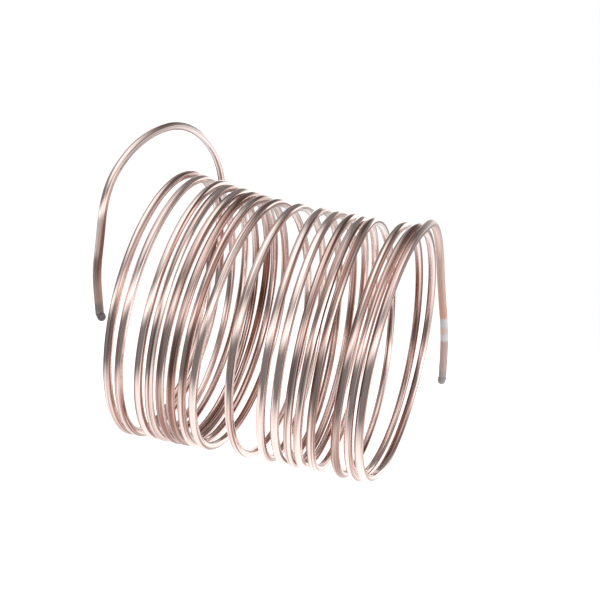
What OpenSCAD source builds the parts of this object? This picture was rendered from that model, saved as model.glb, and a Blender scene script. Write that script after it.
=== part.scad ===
// Immersion wort chiller: one long copper tube wound by hand into a loose coil, lying on its side.
// Its inlet end arches up and over the first loop, its outlet end hangs down behind the last one,
// and a rubber plug closes each end. Millimetres, +Z up, origin under the middle of the whole object.

/* [Tube] */
// Outside diameter of the copper tube
tube_od = 8; // [6:0.1:8.4]
// Wall thickness of the tube
tube_wall = 0.8; // [0.6:0.1:1.2]

/* [Coil] */
// Height of the first loop, at the inlet's end
first_loop_height = 280; // [272:1:288]
// Height of the last loop, at the outlet's end
last_loop_height = 251; // [244:1:258]
// How far the loops are pulled apart along the coil, 1 being as it lies here
stretch = 1; // [1:0.05:1.3]
// Depth of the small flat on which each loop stands
foot_flat = 0.8; // [0.4:0.1:0.8]
// Depth of the open bore at each end, where the plugs sit
bore_depth = 20; // [18:1:20]

/* [End plugs] */
// Diameter of a plug's domed head
head_d = 8.2; // [7.2:0.1:8.6]
// Length of a plug's head, dome included
head_length = 8.4; // [7:0.1:10]
// Length of the shank inside the tube
shank_length = 12; // [8:1:16]
// Clearance all round the shank in the tube's bore
shank_clearance = 0.05; // [0.02:0.01:0.1]
// Tilt of the inlet plug's head, which sits crooked
inlet_tilt = 24; // [0:1:26]
// Tilt of the outlet plug's head
outlet_tilt = -8; // [-14:1:0]

/* [Hidden] */

// The loops in order from the inlet: distance from the last loop's foot, how far the top leans
// past the foot, and the swing, the angle by which the tube slews at the foot and at the top
LOOPS = [
    [0, 39, 6],
    [9, 44, 6],
    [19, 46, 6],
    [11, 45, 6],
    [16, 43, 4],
    [9, 44, 4.5],
    [11, 44, 4.5],
    [14, 45, 3],
    [43, 26, 3],
    [20, 31, 7],
    [19, 28, 5],
    [11, 32, 5],
    [9, 34, 5],
    [13, 31, 5],
    [29, 31, 2],
    [18, 25, 0],
    [10, 24, 0],
];

// Places that the two ends pass, in the direction of flow: x, y, z, heading and climb in degrees.
// Heading 0 is towards +Y and 90 towards +X. The inlet is measured from the first loop's foot
// on the table, the outlet from the top of the last loop.
INLET = [
    [-6, -88, 158, 0, 90],
    [-6, -88, 182, 0, 90],
    [-5, -73, 248, 5, 75],
    [-3, -45, 290, 5, 37],
    [5, 42, 317, 5, -1],
    [10, 146, 212, -90, -83],
    [-4, 137, 139, -90, -84],
];
OUTLET = [
    [0, 25, 0, 0, 0],
    [2, 80, -54, 90, -85],
    [11, 80, -156, 0, -90],
    [11, 80, -178, 0, -90],
];

tube_id = tube_od - 2 * tube_wall;
foot_z = tube_od / 2 - foot_flat;
last_loop = len(LOOPS) - 1;
// Sides of the swept tube, and the turn of its route from one ring to the next
tube_sides = 8;
ring_turn = 15;
// The swept tube is this much smaller in radius, so that it lies inside the round ends that it meets
inside_round_end = 0.02;
// A run that strays less than this from its own direction is straight
straight_limit = 0.001;
// The gap that must stay between turns
least_allowed_gap = 0.4;
// Room between a plug's head and the tube's end
seat_gap = 0.3;
// Length of the taper at a shank's tip, and what it takes off the diameter there
shank_lead = 1.5;
shank_lead_cut = 1;

copper = [0.78, 0.49, 0.37];
plug_grey = [0.42, 0.43, 0.43];

// Route of the tube: stations, each a point and a direction, joined by pairs of tangent arcs

function unit(v) = v / norm(v);

function direction(heading, climb) =
    [cos(climb) * sin(heading), cos(climb) * cos(heading), sin(climb)];

function foot_x(i) = i == 0 ? 0 : foot_x(i - 1) + stretch * LOOPS[i][0];

function loop_height(i) =
    last_loop_height + (first_loop_height - last_loop_height) * pow(1 - i / last_loop, 2);

function foot_station(i) = [[foot_x(i), 0, foot_z], direction(180 - LOOPS[i][2], 0)];

function top_station(i) =
    [[foot_x(i) + LOOPS[i][1], 0, loop_height(i) - tube_od / 2], direction(-LOOPS[i][2], 0)];

function end_station(row, from) =
    [[row[0] + from.x, row[1] + from.y, row[2] + from.z], direction(row[3], row[4])];

stations = [
    for (row = INLET) end_station(row, [0, 0, 0]),
    for (i = [0 : last_loop]) each [foot_station(i), top_station(i)],
    for (row = OUTLET) end_station(row, top_station(last_loop)[0]),
];

// A run is [start, direction at the start, end]: an arc, or a line when the end lies straight ahead
function aside(run) = let (reach = run[2] - run[0]) reach - (reach * run[1]) * run[1];
function is_straight(run) = norm(aside(run)) < straight_limit;
function arc_radius(run) = let (reach = run[2] - run[0]) reach * reach / (2 * norm(aside(run)));
function arc_angle(run) = 2 * atan2(norm(aside(run)), (run[2] - run[0]) * run[1]);

function run_length(run) =
    is_straight(run) ? norm(run[2] - run[0]) : arc_radius(run) * arc_angle(run) * PI / 180;

// Direction at the share u of a run
function ahead(run, u) =
    is_straight(run)
        ? run[1]
        : let (turn = u * arc_angle(run)) cos(turn) * run[1] + sin(turn) * unit(aside(run));

// Two stations are joined by a straight run, or by two arcs that meet with one direction
function link(a, b) =
    let (
        v = b[0] - a[0],
        both = a[1] + b[1],
        spread = 2 * (1 - a[1] * b[1])
    )
    spread < straight_limit
        ? [[a[0], a[1], b[0]]]
        : let (
            d = (sqrt(pow(v * both, 2) + spread * (v * v)) - v * both) / spread,
            meet = (a[0] + b[0] + d * (a[1] - b[1])) / 2,
            heading = unit(meet - a[0] - d * a[1])
        )
        [[a[0], a[1], meet], [meet, heading, b[0]]];

route = [for (i = [0 : len(stations) - 2]) each link(stations[i], stations[i + 1])];

// Rings of the swept tube, each a centre and a direction. They stand half a step inside each run's
// ends and a little outside its arc, so that the middle of every side touches the route. At a foot
// the side between two rings is therefore level.

swept_runs = [for (i = [1 : len(route) - 2]) route[i]];

function ring_centre(run, u, half_step) =
    is_straight(run)
        ? run[0] + u * (run[2] - run[0])
        : let (inward = unit(aside(run)), radius = arc_radius(run), turn = u * arc_angle(run))
            run[0] + radius * inward
            + radius / cos(half_step) * (sin(turn) * run[1] - cos(turn) * inward);

inlet_end = stations[0][0];
outlet_end = stations[len(stations) - 1][0];
rings = [
    stations[1],
    for (run = swept_runs)
        let (
            turn = is_straight(run) ? 0 : arc_angle(run),
            steps = max(1, round(turn / ring_turn))
        )
        for (i = [0.5 : 1 : steps]) [
            ring_centre(run, i / steps, turn / steps / 2),
            ahead(run, i / steps),
        ],
    stations[len(stations) - 2],
];

// A ring's corners, with a flat side down where the tube is level, and none below the table
function ring_corners(ring) =
    let (
        up = unit(cross(ring[1], [1, 0, 0])),
        across = cross(ring[1], up),
        radius = tube_od / 2 - inside_round_end
    )
    [
        for (k = [0 : tube_sides - 1])
            let (
                a = (k + 0.5) * 360 / tube_sides,
                corner = ring[0] + radius * (cos(a) * up + sin(a) * across)
            )
            [corner.x, corner.y, max(0, corner.z)],
    ];

corners = [for (ring = rings) each ring_corners(ring)];

// Measures of the tube, on points

ends = [inlet_end, outlet_end];
outermost = [each corners, for (end = ends) for (side = [-1, 1]) end + side * tube_od / 2 * [1, 1, 0]];
low = [for (k = [0 : 1]) min([for (p = outermost) p[k]])];
high = [for (k = [0 : 1]) max([for (p = outermost) p[k]])];
to_origin = [-(low.x + high.x) / 2, -(low.y + high.y) / 2, 0];

points = [inlet_end, for (ring = rings) ring[0], outlet_end];

function from_chord(p, a, b) =
    let (ab = b - a, u = max(0, min(1, (p - a) * ab / (ab * ab))))
    norm(p - a - u * ab);

// Only points at least half a loop of tube apart are compared
half_loop = 180 / ring_turn;
centre_gaps = [
    for (i = [0 : len(points) - 1])
        for (j = [0 : len(points) - 2])
            if (abs(i - j) >= half_loop)
                from_chord(points[i], points[j], points[j + 1]),
];
least_gap = min(centre_gaps) - tube_od;
tube_length = [for (run = route) run_length(run)] * [for (run = route) 1];

echo(str("least gap between turns ", least_gap, " mm"));
echo(str("length of the tube ", tube_length, " mm"));
assert(least_gap > least_allowed_gap, "the turns touch");

// Solids

// Tube swept through the rings, closed at its first and last ring
module swept_tube() {
    n = tube_sides;
    last = len(rings) - 1;
    polyhedron(
        points = corners,
        faces = [
            [for (k = [0 : n - 1]) k],
            for (i = [0 : last - 1])
                for (k = [0 : n - 1])
                    let (
                        a = i * n + k,
                        b = i * n + (k + 1) % n
                    )
                    each [[a, a + n, b + n], [a, b + n, b]],
            [for (k = [n - 1 : -1 : 0]) last * n + k],
        ]
    );
}

// Round upright end of the tube with its open bore, from its mouth at the origin
module tube_end(length) {
    difference() {
        cylinder(d = tube_od, h = length, $fn = 64);
        translate([0, 0, -1])
            cylinder(d = tube_id, h = bore_depth + 1, $fn = 64);
    }
}

module coil_tube() {
    color(copper)
        translate(to_origin) {
            swept_tube();
            translate(inlet_end)
                tube_end(stations[1][0].z - inlet_end.z);
            translate(outlet_end)
                tube_end(stations[len(stations) - 2][0].z - outlet_end.z);
        }
}

// Plug in a tube's mouth at the origin: the shank goes up the bore, and the domed head hangs below,
// leaning by the tilt and cut level under the mouth
module end_plug(tilt) {
    head_r = head_d / 2;
    shank_d = tube_id - 2 * shank_clearance;
    dome_depth = head_length - head_r;
    difference() {
        rotate([0, -tilt, 0])
            translate([0, 0, -dome_depth]) {
                cylinder(d = head_d, h = dome_depth + head_d, $fn = 48);
                sphere(d = head_d, $fn = 48);
            }
        translate([-2 * head_d, -2 * head_d, -seat_gap])
            cube(4 * head_d);
    }
    translate([0, 0, -dome_depth / 2])
        cylinder(d = shank_d, h = dome_depth / 2 + shank_length - shank_lead, $fn = 48);
    translate([0, 0, shank_length - shank_lead])
        cylinder(d1 = shank_d, d2 = shank_d - shank_lead_cut, h = shank_lead, $fn = 48);
}

module inlet_plug() {
    color(plug_grey)
        translate(to_origin + inlet_end)
            end_plug(inlet_tilt);
}

module outlet_plug() {
    color(plug_grey)
        translate(to_origin + outlet_end)
            end_plug(outlet_tilt);
}

coil_tube();
inlet_plug();
outlet_plug();
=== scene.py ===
"""Looks of an immersion wort chiller: a hand-wound coil of copper tube, plugged at both ends."""

import logging
import math
from collections.abc import Iterator
from dataclasses import dataclass, field
from enum import Enum

import bmesh
import bpy
from mathutils import Matrix, Vector


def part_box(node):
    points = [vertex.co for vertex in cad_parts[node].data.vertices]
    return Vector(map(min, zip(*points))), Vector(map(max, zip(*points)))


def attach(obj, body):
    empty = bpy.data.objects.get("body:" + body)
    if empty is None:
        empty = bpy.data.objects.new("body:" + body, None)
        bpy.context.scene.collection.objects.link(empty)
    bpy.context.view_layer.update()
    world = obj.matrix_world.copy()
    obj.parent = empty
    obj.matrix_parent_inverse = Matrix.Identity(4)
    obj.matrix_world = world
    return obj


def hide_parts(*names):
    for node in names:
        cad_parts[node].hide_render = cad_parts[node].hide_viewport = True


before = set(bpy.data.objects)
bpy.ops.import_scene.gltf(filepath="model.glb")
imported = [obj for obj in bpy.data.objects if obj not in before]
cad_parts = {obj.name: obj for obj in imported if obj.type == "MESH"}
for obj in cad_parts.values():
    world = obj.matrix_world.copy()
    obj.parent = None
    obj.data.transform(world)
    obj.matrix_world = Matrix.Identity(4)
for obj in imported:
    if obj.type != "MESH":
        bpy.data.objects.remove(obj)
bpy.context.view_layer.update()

log = logging.getLogger("wort_chiller")

MM = 0.001
PHOTO_SIDE_PX = 600

# The camera and what it looks at, in the millimetres of the tube's route
CAMERA_PLACE = Vector((475.78, -760.58, 479.91))
CAMERA_TARGET = Vector((167.51, 0, 165.11))

RGBA = tuple[float, float, float, float]
# The values at which a mask is 0 and 1
Range = tuple[float, float]


class TubeEnd(Enum):
    """The two ends of the tube, by the way the water flows."""

    INLET = "inlet"
    OUTLET = "outlet"


# Degrees by which the head of each end's plug leans
PLUG_TILT = {TubeEnd.INLET: 24.0, TubeEnd.OUTLET: -8.0}


class Attr(str, Enum):
    """Attributes that the swept tube carries for its material."""

    RUN = "run"
    SKIN = "skin"


class Browning(Enum):
    """Grades of darkening given to each half loop, partly browning by handling and partly painted
    shade and highlight.
    """

    BRIGHT = 0.25
    FAIR = 0.45
    BROWN = 0.7
    DARK = 1.0


# The route of the tube


@dataclass(frozen=True)
class Station:
    """A place that the tube passes, with the direction it has there."""

    place: Vector
    ahead: Vector

    @classmethod
    def heading(cls, place: Vector, heading: float, climb: float) -> "Station":
        """Makes a station from a heading and a climb.

        Args:
            place: The point, in millimetres.
            heading: Degrees from +Y towards +X.
            climb: Degrees above the horizon.

        Returns:
            The station with its unit direction.
        """
        h, c = math.radians(heading), math.radians(climb)
        ahead = Vector((math.cos(c) * math.sin(h), math.cos(c) * math.cos(h), math.sin(c)))
        return cls(place, ahead)


@dataclass(frozen=True)
class Run:
    """An arc from a start and its direction to an end, or a line to an end straight ahead."""

    start: Vector
    ahead: Vector
    end: Vector

    STRAIGHT_LIMIT = 0.001

    @property
    def aside(self) -> Vector:
        """The part of the way to the end that lies across the start's direction."""
        reach = self.end - self.start
        return reach - reach.dot(self.ahead) * self.ahead

    @property
    def is_straight(self) -> bool:
        """Whether the end lies straight ahead."""
        return self.aside.length < self.STRAIGHT_LIMIT

    @property
    def radius(self) -> float:
        """Radius of the arc."""
        return (self.end - self.start).length_squared / (2 * self.aside.length)

    @property
    def angle(self) -> float:
        """Angle of the arc, in radians."""
        return 2 * math.atan2(self.aside.length, (self.end - self.start).dot(self.ahead))

    @property
    def length(self) -> float:
        """Length along the run."""
        return (self.end - self.start).length if self.is_straight else self.radius * self.angle

    def at(self, share: float) -> Vector:
        """Point at a share of the run's length.

        Args:
            share: From 0 at the start to 1 at the end.

        Returns:
            The point.
        """
        if self.is_straight:
            return self.start.lerp(self.end, share)
        turn = share * self.angle
        inward = self.aside.normalized()
        across, along = 1 - math.cos(turn), math.sin(turn)
        return self.start + self.radius * (across * inward + along * self.ahead)


@dataclass(frozen=True)
class CoilRoute:
    """The way of the tube from the inlet's mouth to the outlet's, as the solids have it.

    Lengths are in millimetres and angles in degrees. A row of loops is the step from the last
    loop's foot, the lean of the top past the foot, and the swing of the tube at foot and top. A
    row of an end is x, y, z, heading and climb, from the first loop's foot or the last loop's top.
    """

    tube_od: float = 8.0
    foot_flat: float = 0.8
    first_loop_height: float = 280.0
    last_loop_height: float = 251.0
    loops: tuple[tuple[float, float, float], ...] = (
        (0, 39, 6),
        (9, 44, 6),
        (19, 46, 6),
        (11, 45, 6),
        (16, 43, 4),
        (9, 44, 4.5),
        (11, 44, 4.5),
        (14, 45, 3),
        (43, 26, 3),
        (20, 31, 7),
        (19, 28, 5),
        (11, 32, 5),
        (9, 34, 5),
        (13, 31, 5),
        (29, 31, 2),
        (18, 25, 0),
        (10, 24, 0),
    )
    inlet: tuple[tuple[float, float, float, float, float], ...] = (
        (-6, -88, 158, 0, 90),
        (-6, -88, 182, 0, 90),
        (-5, -73, 248, 5, 75),
        (-3, -45, 290, 5, 37),
        (5, 42, 317, 5, -1),
        (10, 146, 212, -90, -83),
        (-4, 137, 139, -90, -84),
    )
    outlet: tuple[tuple[float, float, float, float, float], ...] = (
        (0, 25, 0, 0, 0),
        (2, 80, -54, 90, -85),
        (11, 80, -156, 0, -90),
        (11, 80, -178, 0, -90),
    )

    def loop_height(self, index: int) -> float:
        """Height of a loop over the table, which falls off from the first loop to the last."""
        fall = (1 - index / (len(self.loops) - 1)) ** 2
        return self.last_loop_height + (self.first_loop_height - self.last_loop_height) * fall

    def stations(self) -> list[Station]:
        """All the places that the tube passes.

        Returns:
            The stations in the direction of flow.
        """
        made = [Station.heading(Vector(row[:3]), row[3], row[4]) for row in self.inlet]
        foot_z = self.tube_od / 2 - self.foot_flat
        foot_x = 0.0
        top = Vector()
        for index, (step, lean, swing) in enumerate(self.loops):
            foot_x += step
            top = Vector((foot_x + lean, 0, self.loop_height(index) - self.tube_od / 2))
            made.append(Station.heading(Vector((foot_x, 0, foot_z)), 180 - swing, 0))
            made.append(Station.heading(top, -swing, 0))
        made += [Station.heading(top + Vector(row[:3]), row[3], row[4]) for row in self.outlet]
        return made

    @staticmethod
    def link(a: Station, b: Station) -> list[Run]:
        """Joins two stations by a line, or by two arcs that meet with one direction.

        Args:
            a: The first station.
            b: The next station.

        Returns:
            One straight run or two arcs.
        """
        way = b.place - a.place
        both = a.ahead + b.ahead
        spread = 2 * (1 - a.ahead.dot(b.ahead))
        if spread < Run.STRAIGHT_LIMIT:
            return [Run(a.place, a.ahead, b.place)]
        forward = way.dot(both)
        d = (math.sqrt(forward**2 + spread * way.length_squared) - forward) / spread
        meet = (a.place + b.place + d * (a.ahead - b.ahead)) / 2
        ahead = (meet - a.place - d * a.ahead).normalized()
        return [Run(a.place, a.ahead, meet), Run(meet, ahead, b.place)]

    def runs(self) -> list[Run]:
        """The whole route as lines and arcs."""
        stations = self.stations()
        return [run for a, b in zip(stations, stations[1:]) for run in self.link(a, b)]

    def arc_middles(self) -> list[float]:
        """How far along the tube the middle of each half loop lies.

        Returns:
            Millimetres from the inlet, far and near halves in turn.
        """
        stations = self.stations()
        passed = 0.0
        made = []
        for index, (a, b) in enumerate(zip(stations, stations[1:])):
            span = sum(run.length for run in self.link(a, b))
            if 0 <= index - len(self.inlet) + 1 < 2 * len(self.loops):
                made.append(passed + span / 2)
            passed += span
        return made

    def points(self, spacing: float) -> Iterator[Vector]:
        """Points along the route.

        Args:
            spacing: The most that neighbouring points may lie apart, in millimetres.

        Yields:
            The points in the direction of flow, ends included.
        """
        runs = self.runs()
        for run in runs:
            steps = math.ceil(run.length / spacing)
            for i in range(steps):
                yield run.at(i / steps)
        yield runs[-1].end


# Shader and geometry nodes


class Value:
    """A socket in a node tree that takes part in Python expressions."""

    def __init__(self, tree: "Tree", socket: bpy.types.NodeSocket) -> None:
        """Wraps a socket of a tree."""
        self.tree = tree
        self.socket = socket

    def _math(self, operation: str, *others: "Value | float") -> "Value":
        """Adds a Math node with this value as its first input."""
        values = dict(enumerate((self, *others)))
        return self.tree.node("ShaderNodeMath", {"operation": operation}, values)

    def __add__(self, other: "Value | float") -> "Value":
        """Sum."""
        return self._math("ADD", other)

    __radd__ = __add__

    def __sub__(self, other: "Value | float") -> "Value":
        """Difference."""
        return self._math("SUBTRACT", other)

    def __rsub__(self, other: float) -> "Value":
        """Difference from a number."""
        return self.tree.node("ShaderNodeMath", {"operation": "SUBTRACT"}, {0: other, 1: self})

    def __mul__(self, other: "Value | float") -> "Value":
        """Product."""
        return self._math("MULTIPLY", other)

    __rmul__ = __mul__

    def __truediv__(self, other: "Value | float") -> "Value":
        """Quotient."""
        return self._math("DIVIDE", other)

    def at_least(self, other: "Value | float") -> "Value":
        """The larger of two values."""
        return self._math("MAXIMUM", other)

    def between(self, low: float, high: float) -> "Value":
        """Rises smoothly from 0 at low to 1 at high, or falls where low is the larger.

        Args:
            low: The value that gives 0.
            high: The value that gives 1.

        Returns:
            The mask.
        """
        rises = low < high
        sockets = {
            "Value": self,
            "From Min": min(low, high),
            "From Max": max(low, high),
            "To Min": 0.0 if rises else 1.0,
            "To Max": 1.0 if rises else 0.0,
        }
        return self.tree.node("ShaderNodeMapRange", {"interpolation_type": "SMOOTHSTEP"}, sockets)


class Tree:
    """A node tree that is filled by calls."""

    def __init__(self, tree: bpy.types.NodeTree) -> None:
        """Takes an empty or cleared tree."""
        self.tree = tree

    def node(
        self,
        kind: str,
        settings: dict[str, object] | None = None,
        sockets: dict[str | int, object] | None = None,
        output: str | int = 0,
    ) -> Value:
        """Adds a node.

        Args:
            kind: The node's type.
            settings: Its own settings, such as an operation or a ramp's stops, which come first.
            sockets: Values or links of its inputs, by name or number.
            output: The output that is handed back.

        Returns:
            The chosen output, or the first input of a node that has no output.
        """
        made = self.tree.nodes.new(kind)
        for name, setting in (settings or {}).items():
            if name == "stops":
                self._set_stops(made.color_ramp, setting)
            else:
                setattr(made, name, setting)
        for key, value in (sockets or {}).items():
            socket = made.inputs[key]
            if isinstance(value, Value):
                self.tree.links.new(value.socket, socket)
            else:
                socket.default_value = value
        return Value(self, made.outputs[output] if made.outputs else made.inputs[0])

    @staticmethod
    def _set_stops(ramp: bpy.types.ColorRamp, stops: list[tuple[float, RGBA]]) -> None:
        """Gives a colour ramp its stops.

        Args:
            ramp: The ramp.
            stops: Places from 0 to 1, in order, with their colours.
        """
        while len(ramp.elements) < len(stops):
            ramp.elements.new(1.0)
        for element, (place, colour) in zip(ramp.elements, stops):
            element.position = place
            element.color = colour

    def mix(self, factor: Value | float, a: object, b: object) -> Value:
        """Mixes two colours.

        Args:
            factor: Share of the second colour.
            a: First colour or its socket.
            b: Second colour or its socket.

        Returns:
            The mixed colour.
        """
        settings = {"data_type": "RGBA", "clamp_factor": False}
        return self.node("ShaderNodeMix", settings, {0: factor, 6: a, 7: b}, 2)

    def noise(self, where: Value, scale: float, detail: float) -> Value:
        """Noise, which lies about one half."""
        sockets = {"Vector": where, "Scale": scale, "Detail": detail}
        return self.node("ShaderNodeTexNoise", None, sockets)

    def vector(self, operation: str, *vectors: object, output: str = "Vector") -> Value:
        """Adds a Vector Math node.

        Args:
            operation: Its operation.
            vectors: Its inputs.
            output: The output that is handed back, which is Value where the result is a number.

        Returns:
            The result.
        """
        sockets = dict(enumerate(vectors))
        return self.node("ShaderNodeVectorMath", {"operation": operation}, sockets, output)

    def dot(self, a: object, b: object) -> Value:
        """Dot product of two vectors."""
        return self.vector("DOT_PRODUCT", a, b, output="Value")

    def parts(self, vector: Value, *names: str) -> list[Value]:
        """The named numbers of a vector, such as X and Y."""
        outputs = self.node("ShaderNodeSeparateXYZ", None, {0: vector}).socket.node.outputs
        return [Value(self, outputs[name]) for name in names]

    def principled(self, sockets: dict[str, object]) -> None:
        """Ends a material in a Principled shader with the given sockets."""
        shader = self.node("ShaderNodeBsdfPrincipled", None, sockets)
        self.node("ShaderNodeOutputMaterial", None, {"Surface": shader})


def empty_tree(owner: bpy.types.Material | bpy.types.World) -> Tree:
    """Clears the node tree of a new material or world.

    Args:
        owner: The material or world.

    Returns:
        Its tree, without nodes.
    """
    owner.use_nodes = True
    owner.node_tree.nodes.clear()
    return Tree(owner.node_tree)


# The finishes


@dataclass(frozen=True)
class TubeSkin:
    """Where on the tube a point of its skin is, as sockets of a material's tree.

    The run is the way from the inlet's mouth, spread and rise are the place on the tube's section,
    and away and height are the place in the part, towards the far side and over the table.
    """

    tree: Tree
    run: Value
    spread: Value
    rise: Value
    place: Value
    away: Value
    height: Value

    @classmethod
    def read(cls, tree: Tree) -> "TubeSkin":
        """Reads the swept tube's attributes and the place in the part.

        Args:
            tree: The material's tree.

        Returns:
            The sockets.
        """
        run_name, skin_name = ({"attribute_name": name.value} for name in (Attr.RUN, Attr.SKIN))
        run = tree.node("ShaderNodeAttribute", run_name, output="Fac")
        section = tree.node("ShaderNodeAttribute", skin_name, output="Vector")
        place = tree.node("ShaderNodeTexCoord", output="Object")
        return cls(tree, run, *tree.parts(section, "X", "Y"), place, *tree.parts(place, "Y", "Z"))


@dataclass(frozen=True)
class Streaks:
    """Noise on the tube's skin that is drawn out lengthwise."""

    along: float
    scale: float
    detail: float

    def noise(self, skin: TubeSkin) -> Value:
        """Draws the streaks.

        Args:
            skin: Where on the tube a point is.

        Returns:
            The noise, which lies about one half.
        """
        spot = {"X": skin.spread, "Y": skin.rise, "Z": skin.run * self.along}
        where = skin.tree.node("ShaderNodeCombineXYZ", None, spot)
        return skin.tree.noise(where, self.scale, self.detail)


BAND_WHITE: RGBA = (0.82, 0.84, 0.87, 1)
BAND_GAP: RGBA = (0.84, 0.68, 0.60, 1)


@dataclass(frozen=True)
class CopperFinish:
    """Bright drawn copper with flats and lines along it, browned by handling, worn at the ends,
    with painted shade inside the coil, on some half loops and on the arch's top, and a painted
    highlight where the loops turn over.

    Lengths are in metres.
    """

    fresh: RGBA = (0.985, 0.805, 0.75, 1)
    # Dark brown of browning by handling and of painted shade
    browned: RGBA = (0.32, 0.160, 0.126, 1)
    # Pale colour of the painted highlight where the loops turn over
    pale: RGBA = (1.0, 0.91, 0.88, 1)
    inlet_tone: RGBA = (0.70, 0.47, 0.41, 1)
    end_grey: RGBA = (0.30, 0.28, 0.27, 1)

    # Roughness of fresh, browned and worn copper
    fresh_rough: float = 0.12
    brown_rough: float = 0.22
    worn_rough: float = 0.50

    # What is drawn along the skin, and the height of its relief
    flats: Streaks = Streaks(along=0.015, scale=260.0, detail=1.0)
    lines: Streaks = Streaks(along=0.012, scale=380.0, detail=1.5)
    patches: Streaks = Streaks(along=0.12, scale=60.0, detail=4.0)
    flat_height: float = 0.0014
    line_height: float = 0.0003

    # Shares of lines, patches and the half loop's grade, which is partly painted shade and
    # highlight, in the tone that browns and shades the copper
    line_share: float = 0.78
    patch_share: float = 0.2
    grade_share: float = 0.2
    tone_drop: float = 0.09
    brown_range: Range = (0.44, 0.65)

    # Painted shade: browner copper on the side of the skin that faces the coil's middle, where the
    # tubes shade each other
    coil_middle: tuple[float, float, float] = (0.0, -0.004, 0.13)
    inner_range: Range = (0.0, 0.6)
    inner_brown: float = 0.10

    # Painted highlight: paler, less metallic copper where the loops turn over to the far side,
    # further back on the arch
    pale_start: Range = (0.0, 0.07)
    pale_end: Range = (0.15, 0.10)
    pale_height: Range = (0.15, 0.24)
    arch_height: Range = (0.285, 0.30)
    arch_setback: float = 0.03
    pale_cover: float = 0.8
    pale_matt: float = 0.45

    # Worn ends, by the way from their mouths, and how far they lose streaks, relief and shine
    grey_range: Range = (0.016, 0.0064)
    inlet_range: Range = (0.056, 0.02)
    outlet_range: Range = (0.264, 0.176)
    outlet_reach: float = 0.22
    grey_cover: float = 0.85
    inlet_patches: float = 0.5
    outlet_lines: float = 0.3
    worn_smooth: float = 0.9
    worn_matt: float = 0.5

    # Painted shade and highlight along the arch, darker at its top and lighter where it rises, by
    # the way from the inlet, and the grades of the half loops, partly browning and partly painted
    # shade and highlight
    far_side: Range = (-0.02, 0.02)
    arch_brown: tuple[tuple[float, float], ...] = (
        (0.06, 0.66),
        (0.11, 0.0),
        (0.17, 0.0),
        (0.20, 0.8),
        (0.30, 0.6),
    )
    far_brown: tuple[Browning, ...] = (
        Browning.BROWN, Browning.BROWN, Browning.FAIR, Browning.FAIR, Browning.DARK,
        Browning.DARK, Browning.BROWN, Browning.DARK, Browning.FAIR, Browning.BRIGHT,
        Browning.BROWN, Browning.BROWN, Browning.FAIR, Browning.BRIGHT, Browning.FAIR,
        Browning.BROWN, Browning.BROWN,
    )
    near_brown: tuple[Browning, ...] = (
        Browning.BROWN, Browning.FAIR, Browning.BRIGHT, Browning.BROWN, Browning.FAIR,
        Browning.DARK, Browning.FAIR, Browning.FAIR, Browning.FAIR, Browning.FAIR,
        Browning.BRIGHT, Browning.BROWN, Browning.BRIGHT, Browning.DARK, Browning.BROWN,
        Browning.BRIGHT, Browning.FAIR,
    )

    # Colours of the outlet's end, by shares of its reach from the mouth
    outlet_stops: tuple[tuple[float, RGBA], ...] = (
        (0.000, (0.30, 0.28, 0.28, 1)),
        (0.030, (0.36, 0.33, 0.33, 1)),
        (0.055, (0.50, 0.38, 0.37, 1)),
        (0.185, (0.62, 0.44, 0.43, 1)),
        (0.200, BAND_WHITE),
        (0.218, BAND_WHITE),
        (0.232, BAND_GAP),
        (0.252, BAND_GAP),
        (0.266, BAND_WHITE),
        (0.298, BAND_WHITE),
        (0.309, (0.84, 0.48, 0.36, 1)),
        (0.455, (0.86, 0.58, 0.48, 1)),
        (0.680, (0.92, 0.70, 0.63, 1)),
        (1.000, (0.98, 0.84, 0.80, 1)),
    )

    def _inner_side(self, skin: TubeSkin) -> Value:
        """How far the skin faces the coil's axis.

        Args:
            skin: Where on the tube a point is.

        Returns:
            1 on the inside of a loop, -1 on its outside.
        """
        tree = skin.tree
        normal = tree.node("ShaderNodeNewGeometry", output="Normal")
        inward = tree.vector("SUBTRACT", self.coil_middle, skin.place)
        inward = tree.vector("MULTIPLY", inward, (0, 1, 1))
        return tree.dot(tree.vector("NORMALIZE", inward), normal)

    def _by_loop(self, skin: TubeSkin, tube_length: float, arcs: list[float]) -> Value:
        """Browning and painted shade of the half loop, or painted shade and highlight of the part
        of the arch, that a point is on.

        Args:
            skin: Where on the tube a point is.
            tube_length: Length of the tube in metres.
            arcs: Middles of the far and near half loops, in turn, as shares of the tube.

        Returns:
            The browning with its painted shade and highlight, from 0 to 1.
        """
        share = skin.run / tube_length
        levels = []
        for first, grades in enumerate((self.far_brown, self.near_brown)):
            known = [(at / tube_length, level) for at, level in self.arch_brown]
            known += [(middle, grade.value) for middle, grade in zip(arcs[first::2], grades)]
            stops = [(place, (level, level, level, 1)) for place, level in known]
            levels.append(skin.tree.node("ShaderNodeValToRGB", {"stops": stops}, {"Fac": share}))
        far_side = skin.away.between(*self.far_side)
        return levels[0] * far_side + levels[1] * (1.0 - far_side)

    def _paled(self, skin: TubeSkin) -> Value:
        """Where the copper is painted paler, as a painted highlight.

        Args:
            skin: Where on the tube a point is.

        Returns:
            The mask.
        """
        setback = self.arch_setback * skin.height.between(*self.arch_height)
        start = (skin.away - setback).between(*self.pale_start)
        end = skin.away.between(*self.pale_end)
        return start * end * skin.height.between(*self.pale_height)

    def material(self, tube_length: float, arcs: list[float]) -> bpy.types.Material:
        """Builds the material.

        Args:
            tube_length: Length of the tube in metres.
            arcs: Middles of the far and near half loops, in turn, as shares of the tube.

        Returns:
            The material.
        """
        made = bpy.data.materials.new("bright_copper")
        tree = empty_tree(made)
        skin = TubeSkin.read(tree)
        drawn = (self.flats, self.lines, self.patches)
        flats, lines, patches = (streaks.noise(skin) for streaks in drawn)

        tone = self.line_share * lines + self.patch_share * patches
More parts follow.
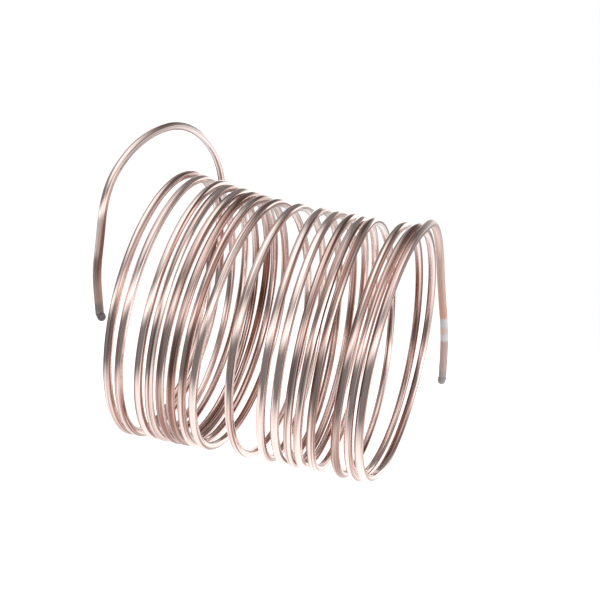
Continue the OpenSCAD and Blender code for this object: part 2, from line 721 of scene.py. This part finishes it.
        # Each half loop's grade, partly browning and partly painted shade and highlight, adds to
        # the tone
        tone = tone + self.grade_share * self._by_loop(skin, tube_length, arcs) - self.tone_drop
        # Painted shade on the side of the skin that faces the coil's middle
        inner = self._inner_side(skin).between(*self.inner_range)
        # Painted highlight on the far side of each loop's top, further back on the arch
        paled = self._paled(skin)
        # Browning with painted shade added inside the coil, taken off under the painted highlight
        brown = tone.between(*self.brown_range) + self.inner_brown * inner
        brown = brown * (1.0 - self.pale_cover * paled)

        to_outlet = tube_length - skin.run
        grey = skin.run.between(*self.grey_range)
        inlet = skin.run.between(*self.inlet_range)
        outlet = to_outlet.between(*self.outlet_range)
        worn = inlet + outlet

        share = to_outlet / self.outlet_reach
        ends = tree.node("ShaderNodeValToRGB", {"stops": self.outlet_stops}, {"Fac": share})
        # Fresh copper or the painted highlight's pale colour, darkened by browning and painted
        # shade
        colour = tree.mix(brown, tree.mix(paled, self.fresh, self.pale), self.browned)
        colour = tree.mix(inlet * (1.0 - self.inlet_patches * patches), colour, self.inlet_tone)
        colour = tree.mix(outlet * (1.0 - self.outlet_lines * lines), colour, ends)
        colour = tree.mix(grey * self.grey_cover, colour, self.end_grey)

        dull = (self.brown_rough - self.fresh_rough) * brown.at_least(grey)
        roughness = self.fresh_rough + dull + (self.worn_rough - self.brown_rough) * worn
        # Less metallic where worn at the ends and under the painted highlight
        matt = (self.worn_matt * worn).at_least(self.pale_matt * paled)
        relief = flats * self.flat_height + lines * self.line_height
        relief = relief * (1.0 - self.worn_smooth * worn)
        bumps = {"Height": relief, "Strength": 1.0, "Distance": 1.0}
        tree.principled(
            {
                "Base Color": colour,
                "Metallic": 1.0 - matt,
                "Roughness": roughness,
                "Normal": tree.node("ShaderNodeBump", None, bumps),
            }
        )
        return made


@dataclass(frozen=True)
class RubberFinish:
    """Grey rubber, a little scuffed, with the outlet's plug paler."""

    rubber: RGBA = (0.20, 0.19, 0.19, 1)
    dust: RGBA = (0.38, 0.37, 0.36, 1)
    roughness: float = 0.55
    scuff_scale: float = 420.0
    scuff_detail: float = 5.0
    scuff_rough: float = 0.3
    rough_range: Range = (0.4, 0.7)
    dust_range: Range = (0.45, 0.75)
    # How much paler the outlet's plug is
    outlet_dust: float = 0.7
    outlet_side: Range = (-0.01, 0.01)
    grain_scale: float = 2600.0
    grain_detail: float = 2.0
    grain_depth: float = 0.00006
    grain_strength: float = 0.4

    def material(self) -> bpy.types.Material:
        """Builds the material.

        Returns:
            The material.
        """
        made = bpy.data.materials.new("plug_rubber")
        tree = empty_tree(made)
        place = tree.node("ShaderNodeTexCoord", output="Object")
        scuffs = tree.noise(place, self.scuff_scale, self.scuff_detail)
        grain = tree.noise(place, self.grain_scale, self.grain_detail)
        (along,) = tree.parts(place, "X")
        outlet = along.between(*self.outlet_side)
        dusty = scuffs.between(*self.dust_range) + self.outlet_dust * outlet
        bumps = {"Height": grain, "Strength": self.grain_strength, "Distance": self.grain_depth}
        tree.principled(
            {
                "Base Color": tree.mix(dusty, self.rubber, self.dust),
                "Roughness": self.roughness + self.scuff_rough * scuffs.between(*self.rough_range),
                "Normal": tree.node("ShaderNodeBump", None, bumps),
            }
        )
        return made


# The pieces


def add_object(name: str, data: bpy.types.ID) -> bpy.types.Object:
    """Puts a new object into the scene, at the origin.

    Args:
        name: The object's name.
        data: Its mesh, curve or camera.

    Returns:
        The object.
    """
    made = bpy.data.objects.new(name, data)
    bpy.context.scene.collection.objects.link(made)
    return made


def plain_mesh(obj: bpy.types.Object, name: str) -> bpy.types.Object:
    """Turns an object with modifiers into a plain mesh object.

    Args:
        obj: The object, which is removed.
        name: Name of the new object.

    Returns:
        The mesh object, at the origin.
    """
    graph = bpy.context.evaluated_depsgraph_get()
    mesh = bpy.data.meshes.new_from_object(obj.evaluated_get(graph), depsgraph=graph)
    bpy.data.objects.remove(obj)
    mesh.name = name
    return add_object(name, mesh)


@dataclass
class CoilTube:
    """The copper tube, swept round along its whole route, open at both mouths.

    Lengths are in metres, apart from the spacing of points on the route, in its millimetres.
    """

    route: CoilRoute
    finish: CopperFinish = field(default_factory=CopperFinish)
    bore: float = 6.4 * MM
    bore_depth: float = 20 * MM
    sides: int = 20
    spacing: float = 4.0
    to_part: Vector = field(default_factory=Vector)

    def __post_init__(self) -> None:
        """Finds where the route lies in the part, from the middle of the solid coil's box."""
        low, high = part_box("coil_tube")
        self.to_part = Vector(((low.x + high.x) / 2, (low.y + high.y) / 2, 0.0))
        flow = list(self.route.points(self.spacing))
        mid = [(min(p[k] for p in flow) + max(p[k] for p in flow)) / 2 * MM for k in (0, 1)]
        self.to_part -= Vector((mid[0], mid[1], 0.0))

    def place(self, point: Vector) -> Vector:
        """A point of the route in the part's frame, in metres."""
        return point * MM + self.to_part

    def centreline(self) -> list[Vector]:
        """Points of the route in the part's frame, in metres."""
        return [self.place(p) for p in self.route.points(self.spacing)]

    def length(self) -> float:
        """Length of the tube in metres."""
        return sum(run.length for run in self.route.runs()) * MM

    def arc_places(self) -> list[float]:
        """Middles of the far and near half loops in turn, as shares of the tube."""
        return [middle * MM / self.length() for middle in self.route.arc_middles()]

    def _path(self) -> bpy.types.Object:
        """Lays the route as a curve of one open spline.

        Returns:
            The curve object.
        """
        points = self.centreline()
        curve = bpy.data.curves.new("tube_route", "CURVE")
        curve.dimensions = "3D"
        spline = curve.splines.new("POLY")
        spline.points.add(len(points) - 1)
        for slot, point in zip(spline.points, points):
            slot.co = (*point, 1.0)
        return add_object("tube_route", curve)

    @staticmethod
    def sweep_tree() -> bpy.types.GeometryNodeTree:
        """Builds the tree that sweeps a round section along a curve.

        The tube notes on its points the way along the curve and the place on the section.

        Returns:
            A geometry tree with inputs for the section's radius, its sides and the material.
        """
        group = bpy.data.node_groups.new("sweep_round_tube", "GeometryNodeTree")
        inputs = {"Geometry": "Geometry", "Radius": "Float", "Sides": "Int", "Material": "Material"}
        for name, kind in inputs.items():
            group.interface.new_socket(name, in_out="INPUT", socket_type=f"NodeSocket{kind}")
        group.interface.new_socket("Geometry", in_out="OUTPUT", socket_type="NodeSocketGeometry")
        tree = Tree(group)
        given = tree.node("NodeGroupInput").socket.node.outputs
        way, radius, sides, material = (Value(tree, given[name]) for name in inputs)

        along = tree.node("GeometryNodeSplineParameter", output="Length")
        way = tree.node(
            "GeometryNodeStoreNamedAttribute",
            {"data_type": "FLOAT", "domain": "POINT"},
            {"Geometry": way, "Name": Attr.RUN.value, "Value": along},
        )
        circle = {"Resolution": sides, "Radius": radius}
        section = tree.node("GeometryNodeCurvePrimitiveCircle", None, circle, "Curve")
        spot = tree.node("GeometryNodeInputPosition")
        section = tree.node(
            "GeometryNodeStoreNamedAttribute",
            {"data_type": "FLOAT_VECTOR", "domain": "POINT"},
            {"Geometry": section, "Name": Attr.SKIN.value, "Value": spot},
        )
        swept = tree.node("GeometryNodeCurveToMesh", None, {"Curve": way, "Profile Curve": section})
        smooth = {"Geometry": swept, "Shade Smooth": True}
        swept = tree.node("GeometryNodeSetShadeSmooth", None, smooth)
        swept = tree.node("GeometryNodeRealizeInstances", None, {"Geometry": swept})
        copper = {"Geometry": swept, "Material": material}
        swept = tree.node("GeometryNodeSetMaterial", None, copper)
        tree.node("NodeGroupOutput", None, {"Geometry": swept})
        return group

    def build(self) -> bpy.types.Object:
        """Sweeps the tube, opens its mouths and sets it on the table.

        Returns:
            The finished piece.
        """
        path = self._path()
        tree = self.sweep_tree()
        sweep = path.modifiers.new("sweep", "NODES")
        sweep.node_group = tree
        wanted = {
            "Radius": self.route.tube_od / 2 * MM,
            "Sides": self.sides,
            "Material": self.finish.material(self.length(), self.arc_places()),
        }
        for item in tree.interface.items_tree:
            if item.in_out == "INPUT" and item.name in wanted:
                sweep[item.identifier] = wanted[item.name]
        tube = plain_mesh(path, "copper_tube")
        self._open_mouths(tube.data)
        return tube

    def _open_mouths(self, mesh: bpy.types.Mesh) -> None:
        """Gives both ends their rim and bore, and flattens the feet where they meet the table.

        Args:
            mesh: The swept tube.
        """
        edit = bmesh.new()
        edit.from_mesh(mesh)
        rim_edges = [e for e in edit.edges if e.is_boundary]
        for at_outlet in (False, True):
            ring = [e for e in rim_edges if (e.verts[0].co.x > 0) == at_outlet]
            self._bore_in(edit, ring)
        for vert in edit.verts:
            vert.co.z = max(vert.co.z, 0.0)
        bmesh.ops.recalc_face_normals(edit, faces=edit.faces)
        edit.to_mesh(mesh)
        edit.free()

    def _bore_in(self, edit: bmesh.types.BMesh, ring: list[bmesh.types.BMEdge]) -> None:
        """Closes one mouth with a rim and a blind bore.

        Args:
            edit: The tube's mesh.
            ring: The edges of the open mouth.
        """
        share = self.bore / (self.route.tube_od * MM)
        for scale, depth in ((share, 0.0), (1.0, self.bore_depth)):
            grown = bmesh.ops.extrude_edge_only(edit, edges=ring)["geom"]
            verts = [g for g in grown if isinstance(g, bmesh.types.BMVert)]
            ring = [g for g in grown if isinstance(g, bmesh.types.BMEdge) and g.is_boundary]
            middle = sum((v.co for v in verts), Vector()) / len(verts)
            for vert in verts:
                vert.co = middle + (vert.co - middle) * scale + Vector((0, 0, depth))
        bmesh.ops.contextual_create(edit, geom=ring)

    def dress(self, tube: bpy.types.Object) -> None:
        """Hands the piece to the frame in place of the faceted solid.

        Args:
            tube: The finished piece.
        """
        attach(tube, "coil")
        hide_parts("coil_tube")


@dataclass
class EndPlug:
    """A moulded plug: a shank up the bore, and a domed head that leans below the tube's mouth."""

    end: TubeEnd
    mouth: Vector
    tilt: float
    head_d: float = 8.2 * MM
    head_length: float = 8.4 * MM
    shank_d: float = 6.3 * MM
    shank_length: float = 12 * MM
    shank_lead: float = 1.5 * MM
    shank_tip_d: float = 5.3 * MM
    seat_gap: float = 0.3 * MM
    edge: float = 0.5 * MM
    dome_steps: int = 10
    sides: int = 40
    crease: float = math.radians(40)

    @property
    def node(self) -> str:
        """Name of the solid that this plug stands for."""
        return f"{self.end.value}_plug"

    def _circle(self, radius: float, height: float) -> list[Vector]:
        """Points of a level circle about the axis.

        Args:
            radius: Radius of the circle.
            height: Height over the mouth.

        Returns:
            The points, or one point where the circle has no radius.
        """
        count = self.sides if radius > 0 else 1
        turns = [2 * math.pi * i / count for i in range(count)]
        return [Vector((radius * math.cos(a), radius * math.sin(a), height)) for a in turns]

    def _rings(self) -> Iterator[list[Vector]]:
        """Rings of the plug, with the mouth at the origin.

        Yields:
            The rings from the dome's tip to the shank's tip.
        """
        lean = Matrix.Rotation(math.radians(-self.tilt), 3, "Y")
        axis = lean.col[2]
        r = self.head_d / 2
        quarter = [math.radians(90 * i / self.dome_steps) for i in range(self.dome_steps + 1)]
        for a in quarter:
            height = r - self.head_length - r * math.cos(a)
            yield [lean @ spot for spot in self._circle(r * math.sin(a), height)]
        for a in quarter[:: self.dome_steps // 2]:
            level = -self.seat_gap - self.edge * (1 - math.sin(a))
            leaning = [lean @ spot for spot in self._circle(r - self.edge * (1 - math.cos(a)), 0.0)]
            yield [spot + axis * ((level - spot.z) / axis.z) for spot in leaning]
        for diameter, height in (
            (self.shank_d, -self.seat_gap),
            (self.shank_d, self.shank_length - self.shank_lead),
            (self.shank_tip_d, self.shank_length),
            (0.0, self.shank_length),
        ):
            yield self._circle(diameter / 2, height)

    def build(self, material: bpy.types.Material) -> bpy.types.Object:
        """Skins the plug's rings and sets it in its mouth.

        Args:
            material: The rubber.

        Returns:
            The finished piece.
        """
        edit = bmesh.new()
        rings = [[edit.verts.new(self.mouth + spot) for spot in ring] for ring in self._rings()]
        for lower, upper in zip(rings, rings[1:]):
            self._bridge(edit, lower, upper)
        bmesh.ops.recalc_face_normals(edit, faces=edit.faces)
        mesh = bpy.data.meshes.new(f"{self.end.value}_rubber_plug")
        edit.to_mesh(mesh)
        edit.free()
        mesh.shade_smooth()
        mesh.set_sharp_from_angle(angle=self.crease)
        mesh.materials.append(material)
        return add_object(mesh.name, mesh)

    def _bridge(
        self,
        edit: bmesh.types.BMesh,
        lower: list[bmesh.types.BMVert],
        upper: list[bmesh.types.BMVert],
    ) -> None:
        """Joins two rings by faces, or a ring and a point by a fan.

        Args:
            edit: The plug's mesh.
            lower: The ring nearer to the dome's tip.
            upper: The next ring.
        """
        for i in range(self.sides):
            j = (i + 1) % self.sides
            corners = [
                lower[i % len(lower)],
                lower[j % len(lower)],
                upper[j % len(upper)],
                upper[i % len(upper)],
            ]
            edit.faces.new(list(dict.fromkeys(corners)))

    def dress(self, plug: bpy.types.Object) -> None:
        """Hands the piece to the frame in place of its solid.

        Args:
            plug: The finished piece.
        """
        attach(plug, self.node)
        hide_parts(self.node)


# The studio


def bearing(azimuth: float, elevation: float = 0.0) -> Vector:
    """Unit vector of a direction.

    Args:
        azimuth: Degrees from -Y towards +X.
        elevation: Degrees above the horizon.

    Returns:
        The direction.
    """
    az, el = math.radians(azimuth), math.radians(elevation)
    return Vector((math.cos(el) * math.sin(az), -math.cos(el) * math.cos(az), math.sin(el)))


@dataclass(frozen=True)
class SoftLamp:
    """A round soft light far off, which fades out from its core to its edge, in degrees."""

    azimuth: float
    elevation: float
    core: float
    edge: float
    radiance: float

    def mask(self, tree: Tree, direction: Value) -> Value:
        """How bright the lamp is in a direction.

        Args:
            tree: The world's tree.
            direction: Unit vector of the direction.

        Returns:
            The lamp's radiance, 0 outside its edge.
        """
        near = tree.dot(direction, bearing(self.azimuth, self.elevation))
        outer, inner = (math.cos(math.radians(angle)) for angle in (self.edge, self.core))
        return near.between(outer, inner) * self.radiance


@dataclass(frozen=True)
class StripLight:
    """A long level strip of soft light in front of the table.

    Its edges are slopes over the way ahead, so it sinks towards the horizon at both ends.
    """

    facing: float
    low: float
    high: float
    low_fade: float
    high_fade: float
    radiance: float
    least_ahead: float = 0.05
    front_range: Range = (0.0, 0.15)

    def mask(self, tree: Tree, direction: Value) -> Value:
        """How bright the strip is in a direction.

        Args:
            tree: The world's tree.
            direction: Unit vector of the direction.

        Returns:
            The strip's radiance, 0 above and below it and behind the table.
        """
        ahead = tree.dot(direction, bearing(self.facing))
        (height,) = tree.parts(direction, "Z")
        slope = height / ahead.at_least(self.least_ahead)
        rise = slope.between(self.low - self.low_fade, self.low + self.low_fade)
        fall = slope.between(self.high + self.high_fade, self.high - self.high_fade)
        return rise * fall * ahead.between(*self.front_range) * self.radiance


@dataclass(frozen=True)
class Backdrop:
    """The white wall behind the table, which ends a little above the horizon."""

    facing: float
    low: float
    top: float
    fade: float
    radiance: float
    behind_range: Range = (0.60, 0.93)

    def mask(self, tree: Tree, direction: Value) -> Value:
        """How bright the wall is in a direction.

        Args:
            tree: The world's tree.
            direction: Unit vector of the direction.

        Returns:
            The wall's radiance, 0 above it and in front of the table.
        """
        behind = tree.dot(direction, -bearing(self.facing))
        (height,) = tree.parts(direction, "Z")
        below = height.between(self.top + self.fade, self.top - self.fade)
        above = height.between(self.low - self.fade, self.low + self.fade)
        return below * above * behind.between(*self.behind_range) * self.radiance


@dataclass(frozen=True)
class FloorShade:
    """A round patch of painted shade on the sheet, which gives back less light."""

    middle: tuple[float, float, float]
    reach: float
    fade: float
    depth: float

    def mask(self, tree: Tree, place: Value) -> Value:
        """What the patch takes off the sheet's density."""
        apart = tree.vector("DISTANCE", place, self.middle, output="Value")
        return apart.between(self.reach + self.fade, self.reach - self.fade) * self.depth


@dataclass(frozen=True)
class Sheet:
    """The white sheet that the coil lies on, squared to the camera, with edges that fade out."""

    facing: float = 22.0
    front: float = 0.238
    back: float = 2.4
    left: float = 0.35
    right: float = 0.34
    fade: float = 0.09
    side: float = 6.0
    grey: RGBA = (0.2, 0.2, 0.2, 1)
    white: RGBA = (1.0, 1.0, 1.0, 1)
    glow: float = 1.16
    density: float = 0.95
    # Patches of painted shade on the sheet: in front to the left, and behind the coil where its
    # shadow falls
    shades: tuple[FloorShade, ...] = (
        FloorShade(middle=(-0.26, -0.32, 0.0), reach=0.34, fade=0.16, depth=0.18),
        FloorShade(middle=(-0.30, 0.62, 0.0), reach=0.40, fade=0.13, depth=0.72),
    )

    def _edge(self, tree: Tree, place: Value, turn: float, reach: float) -> Value:
        """Mask that falls off at one edge."""
        out = tree.dot(place, bearing(self.facing + turn))
        return out.between(reach + self.fade, reach - self.fade)

    def material(self) -> bpy.types.Material:
        """Builds the material.

        Returns:
            The material.
        """
        made = bpy.data.materials.new("white_sheet")
        tree = empty_tree(made)
        place = tree.node("ShaderNodeTexCoord", output="Object")
        edges = ((0, self.front), (90, self.right), (180, self.back), (270, self.left))
        front, right, back, left = (self._edge(tree, place, turn, reach) for turn, reach in edges)
        thick: Value | float = self.density
        for patch in self.shades:
            thick = thick - patch.mask(tree, place)
        tree.principled(
            {
                "Base Color": self.grey,
                "Roughness": 1.0,
                "Specular IOR Level": 0.0,
                "Emission Color": self.white,
                "Emission Strength": self.glow,
                "Alpha": front * right * back * left * thick,
            }
        )
        return made

    def build(self) -> None:
        """Lays the sheet."""
        far = self.side / 2
        corners = [(-far, -far, 0), (far, -far, 0), (far, far, 0), (-far, far, 0)]
        mesh = bpy.data.meshes.new("white_sheet")
        mesh.from_pydata(corners, [], [(0, 1, 2, 3)])
        mesh.materials.append(self.material())
        add_object("white_sheet", mesh)


@dataclass
class Studio:
    """A white sheet in a dim room with soft lights, seen as the photograph sees it."""

    camera_place: Vector
    camera_target: Vector
    focal_px: float = 894.9
    sensor: float = 36.0
    clip: tuple[float, float] = (0.05, 50.0)
    backcloth: RGBA = (1.0, 1.0, 1.0, 1)
    room: RGBA = (0.212, 0.212, 0.212, 1)
    lamp_white: RGBA = (1.0, 1.0, 1.0, 1)
    lights: tuple[SoftLamp | StripLight | Backdrop, ...] = (
        SoftLamp(azimuth=-90, elevation=84, core=12, edge=53, radiance=1.42),
        StripLight(facing=3, low=0.25, high=0.78, low_fade=0.20, high_fade=0.42, radiance=1.42),
        SoftLamp(azimuth=80, elevation=18, core=8, edge=36, radiance=1.2),
        SoftLamp(azimuth=105, elevation=-12, core=15, edge=55, radiance=0.55),
        SoftLamp(azimuth=-130, elevation=28, core=8, edge=26, radiance=0.35),
        Backdrop(facing=5, low=-0.2, top=0.08, fade=0.10, radiance=1.8),
    )
    sheet: Sheet = field(default_factory=Sheet)

    def camera(self) -> None:
        """Sets up the camera."""
        data = bpy.data.cameras.new("photo_view")
        data.sensor_width = self.sensor
        data.lens = self.focal_px * self.sensor / PHOTO_SIDE_PX
        data.clip_start, data.clip_end = self.clip
        made = add_object("photo_view", data)
        made.location = self.camera_place
        look = self.camera_target - self.camera_place
        made.rotation_mode = "QUATERNION"
        made.rotation_quaternion = look.to_track_quat("-Z", "Y")
        bpy.context.scene.camera = made

    def world(self) -> None:
        """Makes the dim room and its lamps, with plain white behind the object."""
        world = bpy.data.worlds.new("dim_room")
        tree = empty_tree(world)
        direction = tree.node("ShaderNodeTexCoord", output="Generated")
        light: Value | float = 0.0
        for source in self.lights:
            light = light + source.mask(tree, direction)
        colour = tree.mix(light, self.room, self.lamp_white)
        seen = tree.node("ShaderNodeLightPath", output="Is Camera Ray")
        colour = tree.mix(seen, colour, self.backcloth)
        sky = tree.node("ShaderNodeBackground", None, {"Color": colour, "Strength": 1.0})
        tree.node("ShaderNodeOutputWorld", None, {"Surface": sky})
        bpy.context.scene.world = world

    def build(self) -> None:
        """Sets up camera, sheet and room."""
        self.camera()
        self.sheet.build()
        self.world()
        bpy.context.scene.view_settings.view_transform = "Standard"


def main() -> None:
    """Builds the coil, its plugs and the studio in order, and reports each piece."""
    logging.basicConfig(level=logging.INFO, format="%(message)s")
    route = CoilRoute()
    coil = CoilTube(route)
    studio = Studio(
        camera_place=coil.place(CAMERA_PLACE),
        camera_target=coil.place(CAMERA_TARGET),
    )
    studio.build()

    tube = coil.build()
    coil.dress(tube)
    log.info("%s: %.2f m of tube, %d faces", tube.name, coil.length(), len(tube.data.polygons))

    rubber = RubberFinish().material()
    stations = route.stations()
    for end, station in ((TubeEnd.INLET, stations[0]), (TubeEnd.OUTLET, stations[-1])):
        plug = EndPlug(end, coil.place(station.place), PLUG_TILT[end])
        piece = plug.build(rubber)
        plug.dress(piece)
        log.info("%s: %d faces", piece.name, len(piece.data.polygons))


if __name__ == "__main__":
    main()
